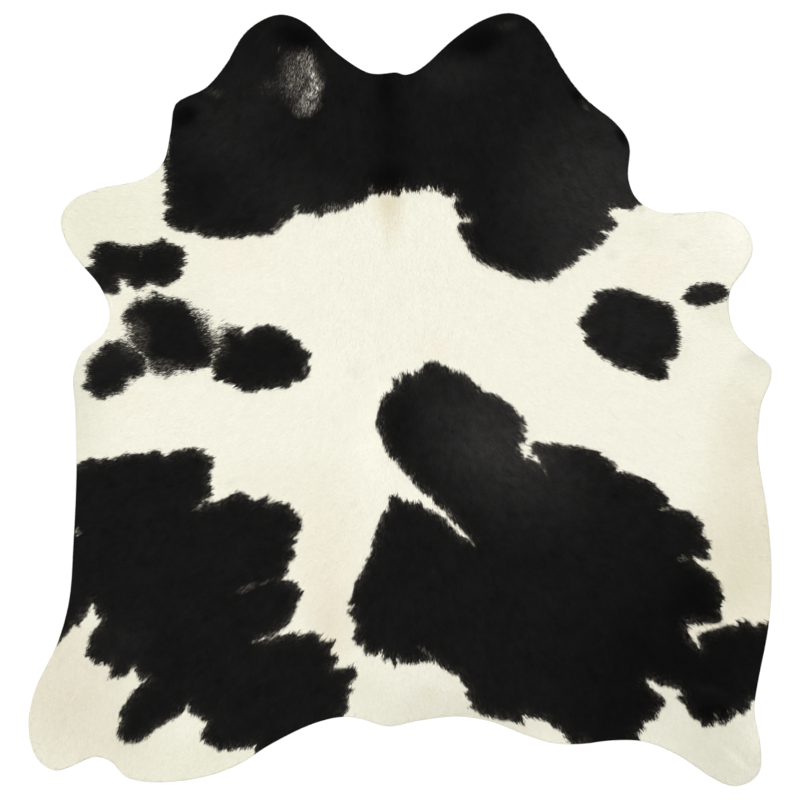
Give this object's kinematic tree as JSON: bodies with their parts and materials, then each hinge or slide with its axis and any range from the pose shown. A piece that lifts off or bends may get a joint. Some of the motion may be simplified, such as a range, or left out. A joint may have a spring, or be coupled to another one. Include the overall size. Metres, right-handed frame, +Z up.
{
  "type": "cowhide rug",
  "caption": "Whole cow hide with the hair left on, trimmed to its natural outline of neck, legs and flanks, laid hair side up as a flat floor rug.",
  "frame": {"origin": "on the floor, under the middle of the hide's box", "axes": "+Y towards the neck, +X towards the flank on the right as seen from above, +Z up out of the hair side"},
  "size_m": [2.064, 2.15, 0.0137],
  "materials": {
    "hair_coat": "short cow hair lying flat, soft satin sheen, cream with black patches",
    "flesh_side": "bare suede, matt, tan"
  },
  "bodies": {
    "root": {"hide": "hair_coat"}
  },
  "joints": []
}
